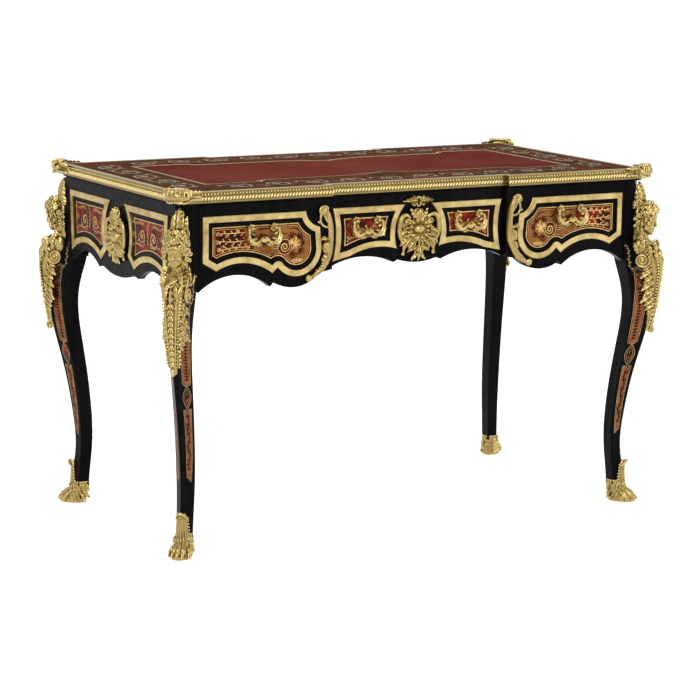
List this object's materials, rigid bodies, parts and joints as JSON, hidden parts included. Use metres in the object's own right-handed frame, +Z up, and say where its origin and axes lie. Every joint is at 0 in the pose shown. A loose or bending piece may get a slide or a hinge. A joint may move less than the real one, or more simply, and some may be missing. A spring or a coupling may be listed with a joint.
{
  "type": "writing desk",
  "caption": "Flat-topped writing desk with frieze drawers, brass and shell marquetry, gilt busts on the corners and curved legs on paw feet.",
  "frame": {"origin": "on the floor under the middle of the desk", "axes": "+X to the sitter's right along the desk, -Y towards the sitter, where the drawers open, +Z up"},
  "size_m": [1.2778, 0.6978, 0.791],
  "materials": {
    "black_wood": "ebonised and french polished",
    "oak": "plain oiled oak",
    "gilt_bronze": "cast, chased and gilt",
    "brass": "polished and lacquered",
    "marquetry": "red shell and brass marquetry, polished",
    "leather": "tooled writing leather",
    "lock_brass": "plain brass",
    "lock_steel": "plain steel"
  },
  "bodies": {
    "desk": {"back_cartouche": "gilt_bronze", "back_panel": "black_wood", "back_scroll_mounts": "gilt_bronze", "bearer_rail": "oak", "bust_mount_back_left": "gilt_bronze", "bust_mount_back_right": "gilt_bronze", "bust_mount_front_left": "gilt_bronze", "bust_mount_front_right": "gilt_bronze", "corner_clasps": "gilt_bronze", "divider_left": "oak", "divider_right": "oak", "drawer_runners": "oak", "edge_moulding_back": "brass", "edge_moulding_front": "brass", "edge_moulding_left": "brass", "edge_moulding_right": "brass", "leg_back_left": "black_wood", "leg_back_right": "black_wood", "leg_front_left": "black_wood", "leg_front_right": "black_wood", "panel_frames": "brass", "panel_marquetry": "marquetry", "paw_foot_back_left": "gilt_bronze", "paw_foot_back_right": "gilt_bronze", "paw_foot_front_left": "gilt_bronze", "paw_foot_front_right": "gilt_bronze", "side_cartouches": "gilt_bronze", "side_panel_left": "black_wood", "side_panel_right": "black_wood", "top_marquetry_border": "marquetry", "top_panel": "black_wood", "top_rail": "oak", "writing_leather": "leather"},
    "left_drawer": {"left_drawer_bottom": "oak", "left_drawer_box": "oak", "left_drawer_frame": "brass", "left_drawer_front": "black_wood", "left_drawer_handle_posts": "gilt_bronze", "left_drawer_marquetry": "marquetry", "left_drawer_scroll_mount": "gilt_bronze"},
    "right_drawer": {"right_drawer_bottom": "oak", "right_drawer_box": "oak", "right_drawer_frame": "brass", "right_drawer_front": "black_wood", "right_drawer_handle_posts": "gilt_bronze", "right_drawer_marquetry": "marquetry", "right_drawer_scroll_mount": "gilt_bronze"},
    "middle_drawer": {"lock_case": "lock_brass", "middle_drawer_bottom": "oak", "middle_drawer_box": "oak", "middle_drawer_cartouche": "gilt_bronze", "middle_drawer_frames": "brass", "middle_drawer_front": "black_wood", "middle_drawer_handle_posts": "gilt_bronze", "middle_drawer_marquetry": "marquetry"},
    "left_bail": {"left_drawer_bail": "gilt_bronze"},
    "right_bail": {"right_drawer_bail": "gilt_bronze"},
    "middle_bail_left": {"middle_drawer_bail_left": "gilt_bronze"},
    "middle_bail_right": {"middle_drawer_bail_right": "gilt_bronze"},
    "lock_bolt": {"lock_bolt": "lock_steel"}
  },
  "joints": [
    {"name": "left_drawer_slide", "type": "slide", "parent": "desk", "child": "left_drawer", "axis": [0, -1, 0], "range_m": [0, 0.38]},
    {"name": "middle_drawer_slide", "type": "slide", "parent": "desk", "child": "middle_drawer", "axis": [0, -1, 0], "range_m": [0, 0.38]},
    {"name": "right_drawer_slide", "type": "slide", "parent": "desk", "child": "right_drawer", "axis": [0, -1, 0], "range_m": [0, 0.38]},
    {"name": "left_bail_swing", "type": "hinge", "parent": "left_drawer", "child": "left_bail", "pos_m": [-0.392, -0.308, 0.697], "axis": [-1, 0, 0], "range_deg": [0, 80]},
    {"name": "right_bail_swing", "type": "hinge", "parent": "right_drawer", "child": "right_bail", "pos_m": [0.392, -0.308, 0.697], "axis": [-1, 0, 0], "range_deg": [0, 80]},
    {"name": "middle_bail_left_swing", "type": "hinge", "parent": "middle_drawer", "child": "middle_bail_left", "pos_m": [-0.13, -0.293, 0.697], "axis": [-1, 0, 0], "range_deg": [0, 80]},
    {"name": "middle_bail_right_swing", "type": "hinge", "parent": "middle_drawer", "child": "middle_bail_right", "pos_m": [0.13, -0.293, 0.697], "axis": [-1, 0, 0], "range_deg": [0, 80]},
    {"name": "lock_bolt_slide", "type": "slide", "parent": "middle_drawer", "child": "lock_bolt", "axis": [0, 0, 1], "range_m": [0, 0.006]}
  ]
}
